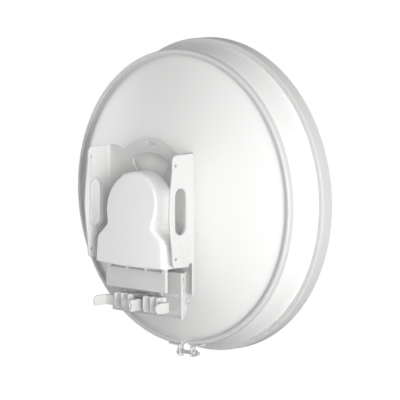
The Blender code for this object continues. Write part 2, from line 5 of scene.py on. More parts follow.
import bpy
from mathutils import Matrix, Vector


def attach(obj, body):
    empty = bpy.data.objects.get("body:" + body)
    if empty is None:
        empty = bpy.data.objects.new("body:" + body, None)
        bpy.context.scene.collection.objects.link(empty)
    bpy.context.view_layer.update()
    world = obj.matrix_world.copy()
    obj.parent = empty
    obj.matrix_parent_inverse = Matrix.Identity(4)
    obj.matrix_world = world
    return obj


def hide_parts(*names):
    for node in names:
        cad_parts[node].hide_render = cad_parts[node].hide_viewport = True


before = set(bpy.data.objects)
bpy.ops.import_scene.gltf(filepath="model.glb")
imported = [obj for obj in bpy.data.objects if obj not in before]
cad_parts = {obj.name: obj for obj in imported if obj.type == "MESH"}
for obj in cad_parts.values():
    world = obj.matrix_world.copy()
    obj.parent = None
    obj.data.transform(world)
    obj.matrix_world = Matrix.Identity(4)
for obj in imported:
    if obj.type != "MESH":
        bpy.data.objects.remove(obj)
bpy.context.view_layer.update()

# Camera
# It stands behind the dish and to its right, a little above it and far off, so that lines hardly
# converge.  It aims at the middle of the dish's band, which sits left of the picture's middle.

PICTURE = 400
DISH = Vector((0, 0.165, 0.208))
BEHIND = math.radians(44.5)
ABOVE = math.radians(6.8)
CAMERA_AWAY = 8.0
PIXELS_PER_METRE = 485.1
DISH_PIXEL = (182.3, 197.3)
SENSOR = 36

eye_way = Vector((
    math.sin(BEHIND) * math.cos(ABOVE),
    -math.cos(BEHIND) * math.cos(ABOVE),
    math.sin(ABOVE),
))
bpy.ops.object.camera_add(location=DISH + eye_way * CAMERA_AWAY)
camera = bpy.context.object
camera.rotation_euler = eye_way.to_track_quat("Z", "Y").to_euler()
camera.data.sensor_width = SENSOR
camera.data.lens = PIXELS_PER_METRE * CAMERA_AWAY * SENSOR / PICTURE
camera.data.shift_x = (PICTURE / 2 - DISH_PIXEL[0]) / PICTURE
camera.data.shift_y = (DISH_PIXEL[1] - PICTURE / 2) / PICTURE
camera.data.clip_end = 200
bpy.context.scene.camera = camera

# Studio
# A white sweep that burns out to paper white behind the part, a dim even surround, two large soft
# lights on the right, a weaker one on the left, faint ones above and below, and one in front.


def linear(hex_colour):
    """An sRGB hex colour as the linear values that shaders take."""
    parts = [int(hex_colour[i:i + 2], 16) / 255 for i in (0, 2, 4)]
    return tuple(p / 12.92 if p <= 0.04045 else ((p + 0.055) / 1.055) ** 2.4 for p in parts)


def add_node(tree, kind, settings=None, inputs=None):
    """Adds a node, sets its settings, and fills or links its inputs."""
    made = tree.nodes.new(kind)
    for name, value in (settings or {}).items():
        setattr(made, name, value)
    for name, value in (inputs or {}).items():
        if isinstance(value, bpy.types.NodeSocket):
            tree.links.new(value, made.inputs[name])
        else:
            made.inputs[name].default_value = value
    return made


FLOOR_DROP = 0.9
FLOOR_RADIUS = 90
SURROUND = 0.29
LIGHT_AWAY = 4.0
LIGHT_SIZE = 2.6
KEY_WATTS = 112
SIDE_WATTS = 50
FILL_WATTS = 68
TOP_WATTS = 18
LOW_WATTS = 20
FRONT_WATTS = 75

scene = bpy.context.scene
scene.view_settings.view_transform = "Standard"
world = bpy.data.worlds.new("studio")
scene.world = world
world.use_nodes = True
world.node_tree.nodes["Background"].inputs["Color"].default_value = (1, 1, 1, 1)
world.node_tree.nodes["Background"].inputs["Strength"].default_value = SURROUND

bpy.ops.mesh.primitive_circle_add(
    vertices=64, radius=FLOOR_RADIUS, fill_type="NGON", location=(0, 0, -FLOOR_DROP))
floor = bpy.context.object
floor.name = "floor"
sweep = bpy.data.materials.new("white_sweep")
sweep.use_nodes = True
sweep.node_tree.nodes.clear()
glow = add_node(sweep.node_tree, "ShaderNodeEmission", inputs={"Color": (1, 1, 1, 1), "Strength": 1.0})
add_node(sweep.node_tree, "ShaderNodeOutputMaterial", inputs={"Surface": glow.outputs[0]})
floor.data.materials.append(sweep)
floor.visible_diffuse = False
floor.visible_glossy = False
floor.visible_shadow = False


def soft_light(name, way, watts):
    """A square area light that stands off the dish in the given way and faces it."""
    bpy.ops.object.light_add(type="AREA", location=DISH + Vector(way).normalized() * LIGHT_AWAY)
    light = bpy.context.object
    light.name = name
    light.rotation_euler = Vector(way).to_track_quat("Z", "Y").to_euler()
    light.data.size = LIGHT_SIZE
    light.data.energy = watts


soft_light("key_light", (0.87, -0.49, 0.04), KEY_WATTS)
soft_light("side_light", (0.97, -0.24, 0.05), SIDE_WATTS)
soft_light("fill_light", (-0.98, -0.16, 0.10), FILL_WATTS)
soft_light("top_light", (0.20, -0.60, 0.80), TOP_WATTS)
soft_light("low_light", (0.40, -0.40, -0.80), LOW_WATTS)
soft_light("front_light", (-0.15, 0.98, 0.15), FRONT_WATTS)

# Pole bracket
# A shallow channel folded from 3 mm steel sheet and powder-coated white.  Small lugs stiffen its
# upper corners, the cheeks carry the tilt bolts, one lower corner is notched and the lip kicks out.


def deselect():
    bpy.ops.object.select_all(action="DESELECT")


def edit_all():
    bpy.ops.object.mode_set(mode="EDIT")
    bpy.ops.mesh.select_all(action="SELECT")


def end_edit():
    bpy.ops.mesh.select_all(action="SELECT")
    bpy.ops.mesh.normals_make_consistent(inside=False)
    bpy.ops.object.mode_set(mode="OBJECT")


def facing_back(u, v, w):
    return DISH + Vector((u, w, v))


def facing_side(u, v, w):
    return DISH + Vector((w, u, v))


def facing_up(u, v, w):
    return DISH + Vector((u, v, w))


def cut_sheet(name, points, facing, low, high):
    """A sheet of one outline, as thick as from low to high along the way it faces."""
    deselect()
    bpy.ops.mesh.primitive_circle_add(vertices=len(points), radius=0.01, fill_type="NGON")
    piece = bpy.context.object
    piece.name = name
    for corner, (u, v) in zip(piece.data.vertices, points):
        corner.co = facing(u, v, low)
    edit_all()
    lift = facing(0, 0, high) - facing(0, 0, low)
    bpy.ops.mesh.extrude_region_move(TRANSFORM_OT_translate={"value": lift})
    end_edit()
    return piece


def arc(centre, radius, start, end, steps=8):
    """Points of an arc, its angles in degrees."""
    turns = [math.radians(start + (end - start) * i / steps) for i in range(steps + 1)]
    return [(centre[0] + radius * math.cos(t), centre[1] + radius * math.sin(t)) for t in turns]


def ring(centre, radius, steps=48):
    return arc(centre, radius, 0, 360 - 360 / steps, steps - 1)


def apply(piece, kind, **settings):
    """Adds a modifier with its settings and applies it."""
    deselect()
    piece.select_set(True)
    bpy.context.view_layer.objects.active = piece
    modifier = piece.modifiers.new(kind.lower(), kind)
    for name, value in settings.items():
        setattr(modifier, name, value)
    bpy.ops.object.modifier_apply(modifier=modifier.name)


def work(piece, tool, operation):
    """Cuts a piece with a tool, joins the tool to it or keeps what both fill; the tool goes."""
    apply(piece, "BOOLEAN", operation=operation, object=tool, solver="EXACT")
    bpy.data.objects.remove(tool, do_unlink=True)
    return piece


def drill(piece, points, facing, low=-0.4, high=0.4):
    return work(piece, cut_sheet("drill", points, facing, low, high), "DIFFERENCE")


def round_edges(piece, width, segments=3, angle=35):
    apply(piece, "BEVEL", width=width, segments=segments, limit_method="ANGLE",
          angle_limit=math.radians(angle), miter_outer="MITER_ARC")


def finish(piece, body, slot, look, *nodes):
    """Smooths a piece, paints it, and hangs it on its body in place of the named nodes."""
    deselect()
    piece.select_set(True)
    bpy.context.view_layer.objects.active = piece
    bpy.ops.object.transform_apply(location=True, rotation=True, scale=True)
    bpy.ops.object.shade_smooth_by_angle(angle=math.radians(32))
    piece.data.materials.clear()
    piece.data.materials.append(look)
    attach(piece, body)
    if nodes:
        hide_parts(*nodes)
    return piece


def new_material(name, colour, roughness, metallic):
    """A principled material with its plain values set, and its tree for what varies over it."""
    made = bpy.data.materials.new(name)
    made.use_nodes = True
    shader = made.node_tree.nodes["Principled BSDF"]
    shader.inputs["Base Color"].default_value = (*linear(colour), 1)
    shader.inputs["Roughness"].default_value = roughness
    shader.inputs["Metallic"].default_value = metallic
    return made, made.node_tree, shader


# Polyester powder coat on steel sheet: cured powder flows to a faint orange peel, about 1.5 mm
# from crest to crest, which softens its satin gloss.
PEEL_MM = 1.5
powder_coat, tree, shader = new_material("powder_coat", "D8D8D7", 0.45, 0)
place = add_node(tree, "ShaderNodeTexCoord")
peel = add_node(tree, "ShaderNodeTexNoise", inputs={
    "Vector": place.outputs["Object"], "Scale": 1000 / PEEL_MM, "Detail": 2, "Roughness": 0.4})
bump = add_node(tree, "ShaderNodeBump", inputs={
    "Height": peel.outputs["Fac"], "Strength": 0.06, "Distance": 0.0004})
cloud = add_node(tree, "ShaderNodeTexNoise", inputs={
    "Vector": place.outputs["Object"], "Scale": 9, "Detail": 3})
dull = add_node(tree, "ShaderNodeMapRange", inputs={
    "Value": cloud.outputs["Fac"], "From Min": 0.3, "From Max": 0.7, "To Min": 0.40, "To Max": 0.52})
tree.links.new(bump.outputs[0], shader.inputs["Normal"])
tree.links.new(dull.outputs[0], shader.inputs["Roughness"])

# Painted shade: the bracket is as white as the sheet, and this greyer copy of the powder coat stands for
# the shade its back lies in.
bracket_coat_painted_shade = powder_coat.copy()
bracket_coat_painted_shade.name = "bracket_powder_coat_painted_shade"
shader = bracket_coat_painted_shade.node_tree.nodes["Principled BSDF"]
shader.inputs["Base Color"].default_value = (*linear("CFCFCE"), 1)

SHEET = 0.003
SEAT = 0.0003
TILT_Y = -0.0985
TILT_Z = -0.195
BRACKET_BACK = -0.1135
BRACKET_HALF = 0.110
BRACKET_TOP = -0.1365
BRACKET_BEND = -0.2175
BRACKET_BOTTOM = -0.231
CHEEK_TOP = -0.174
CHEEK_FRONT = -0.098
CHEEK_LEFT = -0.092
CHEEK_LEFT_TOP = -0.186
CHEEK_INSIDE = 0.1067
CHEEK_LEFT_INSIDE = -0.0885
CHEEK_LEFT_ROOT = -0.080
CHEEK_EYE = 0.007
NOTCH_EDGE = ((-0.110, -0.1895), (-0.104, -0.1905), (-0.096, -0.1935), (-0.0882, -0.199))
LUG_LOW = -0.147
LUG_FRONT = -0.1065
LUG_ROUND = 0.0042
FOLD = 0.0035
LIP_FORWARD = 0.005
LIP_START = CHEEK_LEFT + 0.0028
LIP_END = BRACKET_HALF - 0.0045
SPARE_HOLE = (0.1035, -0.1835)
SCREW_HOLE = 0.003
PIVOT_HOLE = 0.0033
OUT = 0.01
FAR = 0.2

front = BRACKET_BACK + SHEET
half = BRACKET_HALF
inner = half - SHEET
channel = [(inner, CHEEK_FRONT), (half, CHEEK_FRONT)]
channel += arc((half - FOLD, BRACKET_BACK + FOLD), FOLD, 0, -90)
channel += arc((FOLD - half, BRACKET_BACK + FOLD), FOLD, 270, 180)
channel += [(-half, CHEEK_FRONT), (-inner, CHEEK_FRONT)]
channel += arc((0.001 - inner, front + 0.001), 0.001, 180, 270, 3)
channel += arc((inner - 0.001, front + 0.001), 0.001, 270, 360, 3)
bracket = cut_sheet("pole_bracket_sheet", channel, facing_up, BRACKET_BOTTOM, BRACKET_TOP)
lug_side = arc((LUG_FRONT - LUG_ROUND, LUG_LOW + LUG_ROUND), LUG_ROUND, 270, 360)
lug_side = [(front, LUG_LOW)] + lug_side + [(LUG_FRONT, BRACKET_TOP + OUT)]
lug_side += [(BRACKET_BACK - OUT, BRACKET_TOP + OUT), (BRACKET_BACK - OUT, BRACKET_BOTTOM - OUT)]
cheek_side = [(front, BRACKET_BOTTOM - OUT), (front, BRACKET_BOTTOM)]
cheek_side += [(CHEEK_FRONT - 0.0005, BRACKET_BEND + 0.004), (CHEEK_FRONT + OUT, BRACKET_BEND + 0.007)]
cheek_side += [(CHEEK_FRONT + OUT, TILT_Z + CHEEK_EYE), (CHEEK_FRONT, TILT_Z + CHEEK_EYE)]
cheek_side += arc((CHEEK_FRONT - 0.0055, CHEEK_TOP - 0.003), 0.003, 0, 90, 6) + [(front, CHEEK_TOP)]
form = cut_sheet("right_form", cheek_side + lug_side, facing_side, 0, FAR)
left_form = cut_sheet(
    "left_form", [(front, BRACKET_BOTTOM - OUT)] + lug_side, facing_side, -FAR, 0.0001)
work(form, left_form, "UNION")
work(bracket, form, "INTERSECT")
drill(bracket, [
    (-FAR, BRACKET_BOTTOM - OUT), (CHEEK_INSIDE, BRACKET_BOTTOM - OUT), (CHEEK_INSIDE, BRACKET_BEND),
    (-FAR, BRACKET_BEND)], facing_back)
notch = [(-FAR, NOTCH_EDGE[0][1]), *NOTCH_EDGE, (NOTCH_EDGE[-1][0], -2 * FAR), (-FAR, -2 * FAR)]
drill(bracket, notch, facing_back)
fold_in = [(CHEEK_LEFT_ROOT, BRACKET_BACK)]
fold_in += arc((CHEEK_LEFT + FOLD, BRACKET_BACK + FOLD), FOLD, 270, 180)
fold_in += [(CHEEK_LEFT, CHEEK_FRONT), (CHEEK_LEFT + SHEET, CHEEK_FRONT), (CHEEK_LEFT + SHEET, front)]
fold_in += [(CHEEK_LEFT_ROOT, front)]
left_cheek = cut_sheet("left_cheek", fold_in, facing_up, BRACKET_BOTTOM, CHEEK_LEFT_TOP)
cheek_side = [(BRACKET_BACK - OUT, BRACKET_BOTTOM - OUT), (front, BRACKET_BOTTOM - OUT)]
cheek_side += [(front, BRACKET_BOTTOM)]
cheek_side += [(CHEEK_FRONT, BRACKET_BEND + 0.005), (CHEEK_FRONT + OUT, BRACKET_BEND + 0.005)]
cheek_side += [(CHEEK_FRONT + OUT, TILT_Z), (CHEEK_FRONT, TILT_Z)]
cheek_side += arc((CHEEK_FRONT - 0.004, CHEEK_LEFT_TOP - 0.004), 0.004, 0, 90, 6)
cheek_side += [(BRACKET_BACK - OUT, CHEEK_LEFT_TOP)]
work(left_cheek, cut_sheet("cheek_form", cheek_side, facing_side, -FAR, FAR), "INTERSECT")
drill(left_cheek, [
    (CHEEK_LEFT_INSIDE, -2 * FAR), (CHEEK_LEFT_INSIDE, BRACKET_BEND), (0, BRACKET_BEND), (0, -2 * FAR)],
    facing_back)
work(bracket, left_cheek, "UNION")
kick = math.degrees(math.atan2(LIP_FORWARD, BRACKET_BEND - BRACKET_BOTTOM))
lip = [(front, BRACKET_BEND + 0.003), (BRACKET_BACK, BRACKET_BEND + 0.003)]
lip += arc((BRACKET_BACK + FOLD, BRACKET_BEND), FOLD, 180, 180 + kick, 5)
lip += [(BRACKET_BACK + LIP_FORWARD, BRACKET_BOTTOM), (front + LIP_FORWARD, BRACKET_BOTTOM)]
lip += [(front + 0.0002, BRACKET_BEND)]
work(bracket, cut_sheet("lip", lip, facing_side, LIP_START, LIP_END), "UNION")
drill(bracket, ring(SPARE_HOLE, SCREW_HOLE, 24), facing_back, -0.13, -0.105)
drill(bracket, ring((TILT_Y, TILT_Z), PIVOT_HOLE, 24), facing_side)
apply(bracket, "WELD", merge_threshold=0.00002)
round_edges(bracket, 0.0006, 2)
# The bracket wears the greyer copy of the powder coat, painted shade for its back.
finish(bracket, "pole_mount", "white_paint", bracket_coat_painted_shade, "pole_bracket")

# Clamp jaws
# Two ribbed jaws cast in aluminium and painted, bolted to the channel.  Their ribs bite on the
# pole; a short rack sits between them.

# Painted die-cast aluminium: slightly rougher and greyer than the sheet, with the grain of the
# blasted casting, about 0.8 mm, under the paint.
GRAIN_MM = 0.8


def casting(name, colour):
    made, tree, shader = new_material(name, colour, 0.5, 0)
    place = add_node(tree, "ShaderNodeTexCoord")
    grain = add_node(tree, "ShaderNodeTexNoise", inputs={
        "Vector": place.outputs["Object"], "Scale": 1000 / GRAIN_MM, "Detail": 4, "Roughness": 0.6})
    bump = add_node(tree, "ShaderNodeBump", inputs={
        "Height": grain.outputs["Fac"], "Strength": 0.18, "Distance": 0.0003})
    tree.links.new(bump.outputs[0], shader.inputs["Normal"])
    return made


cast_paint = casting("painted_casting", "DCDCDB")
# The rack's dark grey is painted shade: it stands for the shade under the panel and between the jaws,
# not for bare metal.
rack_casting_painted_shade = casting("rack_casting_painted_shade", "A2A3A4")

JAW_INNER = 0.018
JAW_OUTER = 0.066
JAW_BODY = -0.127
JAW_REAR = -0.137
JAW_RIBS = (0.022, 0.042, 0.061)
RIB = 0.004
JAW_TOP = -0.190
JAW_BOTTOM = -0.2235
JAW_FOOT = -0.119
JAW_HEEL = 0.008
JAW_ROUND = 0.003
seat_y = BRACKET_BACK - SEAT

for side, name in ((-1, "left"), (1, "right")):
    comb = [(JAW_INNER, seat_y), (JAW_INNER, JAW_BODY)]
    for middle in JAW_RIBS:
        comb += [(middle - RIB / 2, JAW_BODY)]
        comb += arc((middle, JAW_REAR + RIB / 2), RIB / 2, 180, 360, 8)
        comb += [(middle + RIB / 2, JAW_BODY)]
    comb += [(JAW_OUTER, JAW_BODY), (JAW_OUTER, seat_y)]
    jaw = cut_sheet(f"{name}_jaw", [(side * x, y) for x, y in comb], facing_up, JAW_BOTTOM, JAW_TOP)
    profile = [(seat_y + OUT, JAW_TOP + OUT), (seat_y + OUT, JAW_BOTTOM - OUT)]
    profile += [(JAW_FOOT, JAW_BOTTOM - OUT), (JAW_FOOT, JAW_BOTTOM)]
    profile += arc((JAW_REAR + JAW_HEEL, JAW_BOTTOM + JAW_HEEL), JAW_HEEL, 270, 180)
    profile += arc((JAW_REAR + JAW_ROUND, JAW_TOP - JAW_ROUND), JAW_ROUND, 180, 90, 5)
    profile += [(JAW_FOOT, JAW_TOP), (JAW_FOOT, JAW_TOP + OUT)]
    work(jaw, cut_sheet("jaw_form", profile, facing_side, -FAR, FAR), "INTERSECT")
    round_edges(jaw, 0.0006, 2)
    finish(jaw, "pole_mount", "white_casting", cast_paint, f"jaw_{name}")

BAR_HALF = 0.017
BAR_REAR = -0.125
BAR_TOP = -0.187
BAR_BOTTOM = -0.196
BAR_TEETH = 6
TOOTH = 0.0025
pitch = 2 * BAR_HALF / BAR_TEETH
rack = [(-BAR_HALF, seat_y)]
for tooth in range(BAR_TEETH):
    start = -BAR_HALF + pitch * tooth
    rack += [(start, BAR_REAR + TOOTH), (start + pitch * 0.25, BAR_REAR)]
    rack += [(start + pitch * 0.65, BAR_REAR), (start + pitch * 0.9, BAR_REAR + TOOTH)]
rack += [(BAR_HALF, BAR_REAR + TOOTH), (BAR_HALF, seat_y)]
bar = cut_sheet("rack", rack, facing_up, BAR_BOTTOM, BAR_TOP)
round_edges(bar, 0.0004, 2)
# The rack takes the dark grey casting, which is painted shade.
finish(bar, "pole_mount", "white_casting", rack_casting_painted_shade, "toothed_bar")

# Clamp arms
# Angles folded from steel sheet.  The ear sits beside the jaw, and the arm reaches back past the
# pole with a rounded end.

ARM_OUTER = 0.091
ARM_SHEET = 0.0035
ARM_FOLD = 0.004
EAR_FRONT = -0.129
EAR_BACK = -0.135
ARM_REAR = -0.168
ARM_TOP = -0.1965
ARM_BOTTOM = -0.2175
ARM_ROUND = 0.009
ARM_WHOLE = -0.14
ear_inner = JAW_RIBS[-1] + RIB / 2 + SEAT

for side, name in ((-1, "left"), (1, "right")):
    angle = [(ear_inner, EAR_FRONT)] + arc((ARM_OUTER - ARM_FOLD, EAR_FRONT - ARM_FOLD), ARM_FOLD, 90, 0)
    angle += [(ARM_OUTER, ARM_REAR), (ARM_OUTER - ARM_SHEET, ARM_REAR)]
    angle += arc((ARM_OUTER - ARM_SHEET - 0.001, EAR_BACK - 0.001), 0.001, 0, 90, 3)
    angle += [(ear_inner, EAR_BACK)]
    arm = cut_sheet(f"{name}_arm", [(side * x, y) for x, y in angle], facing_up, ARM_BOTTOM, ARM_TOP)
    form = [(-0.10, ARM_TOP + OUT), (-0.10, ARM_BOTTOM - OUT)]
    form += [(ARM_WHOLE, ARM_BOTTOM - OUT), (ARM_WHOLE, ARM_BOTTOM)]
    form += arc((ARM_REAR + ARM_ROUND, ARM_BOTTOM + ARM_ROUND), ARM_ROUND, 270, 180)
    form += arc((ARM_REAR + ARM_ROUND, ARM_TOP - ARM_ROUND), ARM_ROUND, 180, 90)
    form += [(ARM_WHOLE, ARM_TOP), (ARM_WHOLE, ARM_TOP + OUT)]
    work(arm, cut_sheet("arm_form", form, facing_side, -FAR, FAR), "INTERSECT")
    round_edges(arm, 0.0007, 2)
    finish(arm, "pole_mount", "white_paint", powder_coat, f"clamp_arm_{name}")

# Centre block and pole pad
# A painted block with a zinc-plated screw foot; its round pad presses on the pole.

# Zinc-plated steel: a pale satin metal, dulled in patches where the bath was uneven.
zinc, tree, shader = new_material("zinc_plated_steel", "E4E5E6", 0.5, 0.75)
place = add_node(tree, "ShaderNodeTexCoord")
bath = add_node(tree, "ShaderNodeTexNoise", inputs={
    "Vector": place.outputs["Object"], "Scale": 260, "Detail": 3})
dull = add_node(tree, "ShaderNodeMapRange", inputs={
    "Value": bath.outputs["Fac"], "From Min": 0.3, "From Max": 0.7, "To Min": 0.42, "To Max": 0.58})
tree.links.new(dull.outputs[0], shader.inputs["Roughness"])

BLOCK_HALF = 0.008
BLOCK_REAR = -0.157
BLOCK_TOP = -0.1975
BLOCK_BOTTOM = -0.2215
PAD = (0, -0.208)
PAD_RADIUS = 0.012
PAD_FRONT = -0.1612
PAD_REAR = -0.165
FOOT_NUT = 0.019

block = cut_sheet("middle_block", [
    (-BLOCK_HALF, seat_y), (-BLOCK_HALF, BLOCK_REAR), (BLOCK_HALF, BLOCK_REAR), (BLOCK_HALF, seat_y)],
    facing_up, BLOCK_BOTTOM, BLOCK_TOP)
round_edges(block, 0.0012, 3)
finish(block, "pole_mount", "white_paint", powder_coat, "centre_block")


def hexagon(width, centre, turn=0):
    return arc(centre, width / math.sqrt(3), turn, turn + 300, 5)


pad = cut_sheet("pole_foot", ring(PAD, PAD_RADIUS), facing_back, PAD_REAR, PAD_FRONT)
round_edges(pad, 0.0010, 3)
collar = cut_sheet("foot_nut", hexagon(FOOT_NUT, PAD), facing_back, PAD_FRONT, BLOCK_REAR - SEAT)
round_edges(collar, 0.0005, 2)
work(pad, collar, "UNION")
finish(pad, "pole_mount", "steel", zinc, "pole_pad")

# Bolts of the bracket
# Button-head bolts hold the jaws.  Hexagon bolts through the cheeks, a spacer and the ears, each
# with its nut inside, let the antenna tilt.  All are zinc-plated.

EAR_RIGHT = 0.100
EAR_LEFT = -0.082
JAW_BOLT_X = 0.053
JAW_BOLT_Z = -0.184
JAW_BOLT_RADIUS = 0.0045
JAW_BOLT_HEAD = 0.005
KEY_SOCKET = 0.004
TILT_BOLT = 0.010
TILT_SHANK = 0.003
SPACER_RADIUS = 0.007
HEAD = 0.0045
NUT = 0.005


def turned_between(low, high, side):
    return (low, high) if side > 0 else (-high, -low)


centre = (TILT_Y, TILT_Z)
cheeks = ((-1, "left", -CHEEK_LEFT, -EAR_LEFT), (1, "right", BRACKET_HALF, EAR_RIGHT))
for side, name, cheek, ear in cheeks:
    at = (side * JAW_BOLT_X, JAW_BOLT_Z)
    head = cut_sheet(
        f"{name}_jaw_bolt", ring(at, JAW_BOLT_RADIUS, 32), facing_back, seat_y - JAW_BOLT_HEAD, seat_y)
    round_edges(head, 0.0012, 4)
    drill(head, hexagon(KEY_SOCKET, at), facing_back, seat_y - OUT, seat_y - JAW_BOLT_HEAD / 2)
    finish(head, "pole_mount", "steel", zinc, f"jaw_bolt_{name}")

    low, high = turned_between(cheek + SEAT, cheek + SEAT + HEAD, side)
    bolt = cut_sheet(f"{name}_tilt_bolt", hexagon(TILT_BOLT, centre, 30), facing_side, low, high)
    round_edges(bolt, 0.0005, 2)
    nut_outer = ear - SHEET - SEAT
    low, high = turned_between(nut_outer - NUT - 0.003, cheek + 0.002, side)
    work(bolt, cut_sheet("shank", ring(centre, TILT_SHANK, 24), facing_side, low, high), "UNION")
    finish(bolt, "pole_mount", "steel", zinc, f"pivot_bolt_{name}")

    low, high = turned_between(ear + SEAT, cheek - SHEET - SEAT, side)
    spacer = cut_sheet(f"{name}_spacer", ring(centre, SPACER_RADIUS), facing_side, low, high)
    round_edges(spacer, 0.0004, 2)
    drill(spacer, ring(centre, PIVOT_HOLE, 24), facing_side)
    finish(spacer, "pole_mount", "steel", zinc, f"pivot_spacer_{name}")

    low, high = turned_between(nut_outer - NUT, nut_outer, side)
    nut = cut_sheet(f"{name}_nut", hexagon(TILT_BOLT, centre, 30), facing_side, low, high)
    round_edges(nut, 0.0006, 2)
    drill(nut, ring(centre, PIVOT_HOLE, 24), facing_side)
    finish(nut, "pole_mount", "steel", zinc, f"pivot_nut_{name}")

# Carrying frame
# One sheet of 3 mm steel: a plate with a round lobe and four windows behind the reflector, and two
# sides folded back as handles.  Windows and hand slots have a pressed edge against cutting hands.

PLATE_BACK = -0.091
PLATE_HALF = 0.125
PLATE_TOP = 0.109
PLATE_BOTTOM = -0.1815
LOBE = 0.128
SHOULDER = ((0.105, 0.1082), (0.096, 0.1060), (0.088, 0.1035))
WINDOW_OUTER = 0.100
WINDOW_INNER = 0.052
WINDOW_HALF_ANGLE = 34
WINDOW_CORNER = 0.007
OVAL_HALF = 0.0135
OVAL_RISE = 0.0045
OVAL_Z = 0.120
PINHOLE = (-0.0600, 0.0780)
FLANGE_TOP = 0.107
FLANGE_END = -0.122
FLANGE_REAR = -0.153
FLANGE_BULGE = -0.162
FLANGE_LEAN = math.radians(2)
FLANGE_CORNER = 0.012
FRAME_FOLD = 0.0075
STRIP_REAR = -0.098
NOTCH = 0.005
SLOT_FRONT = -0.1158
SLOT_REAR = -0.1458
SLOT_TOP = 0.039
SLOT_BOTTOM = -0.056
PRESSED = 0.003
GRIP = 0.0045
PRESSED_RISE = 0.0012
SCREW_HOLES = (0.0855, -0.104)
SCREW_HOLE_Y = -0.144

shoulder = math.degrees(math.asin(0.100 / LOBE))
edge = PLATE_HALF - FRAME_FOLD
right = [(edge, PLATE_BOTTOM), (edge, PLATE_TOP), *SHOULDER]
lobe = arc((0, 0), LOBE, shoulder, 180 - shoulder, 40)
left = [(-x, z) for x, z in reversed(right)]
plate = cut_sheet("carrying_plate", right + lobe + left, facing_back, PLATE_BACK, PLATE_BACK + SHEET)


def window(middle, grow=0.0):
    """Outline of a ring-sector window with rounded corners, widened all round by grow."""
    outer, inner, half_angle, corner = WINDOW_OUTER, WINDOW_INNER, WINDOW_HALF_ANGLE, WINDOW_CORNER
    far = half_angle - math.degrees(math.asin(corner / (outer - corner)))
    near = half_angle - math.degrees(math.asin(corner / (inner + corner)))

    def turn_corner(radius, angle, start, end):
        at = math.radians(angle)
        return arc((radius * math.cos(at), radius * math.sin(at)), corner + grow, start, end, 6)

    points = turn_corner(outer - corner, middle - far, middle - half_angle - 90, middle - far)
    points += arc((0, 0), outer + grow, middle - far, middle + far, 20)[1:-1]
    points += turn_corner(outer - corner, middle + far, middle + far, middle + half_angle + 90)
    points += turn_corner(inner + corner, middle + near, middle + half_angle + 90, middle + near + 180)
    points += arc((0, 0), inner - grow, middle + near, middle - near, 12)[1:-1]
    points += turn_corner(inner + corner, middle - near, middle - near + 180, middle - half_angle + 270)
    return points


for middle in (90, 0, 180, 270):
    drill(plate, window(middle), facing_back, PLATE_BACK - OUT, PLATE_BACK + OUT)
oval = [(OVAL_HALF * x, OVAL_Z + OVAL_RISE * z) for x, z in ring((0, 0), 1, 40)]
drill(plate, oval, facing_back, PLATE_BACK - OUT, PLATE_BACK + OUT)
drill(plate, ring(PINHOLE, 0.0025, 24), facing_back, PLATE_BACK - OUT, PLATE_BACK + OUT)
for middle in (90, 0, 180, 270):
    edging = cut_sheet("pressed_edge", window(middle, PRESSED),
                       facing_back, PLATE_BACK - PRESSED_RISE, PLATE_BACK + 0.0002)
    drill(edging, window(middle, 0.0003), facing_back, PLATE_BACK - OUT, PLATE_BACK + OUT)
    round_edges(edging, 0.0005, 2)
    finish(edging, "antenna", "white_paint", powder_coat)


def hand_slot(grow=0.0):
    radius = (SLOT_FRONT - SLOT_REAR) / 2
    middle = (SLOT_FRONT + SLOT_REAR) / 2
    upper = arc((middle, SLOT_TOP - radius), radius + grow, 0, 180, 24)
    return upper + arc((middle, SLOT_BOTTOM + radius), radius + grow, 180, 360, 24)


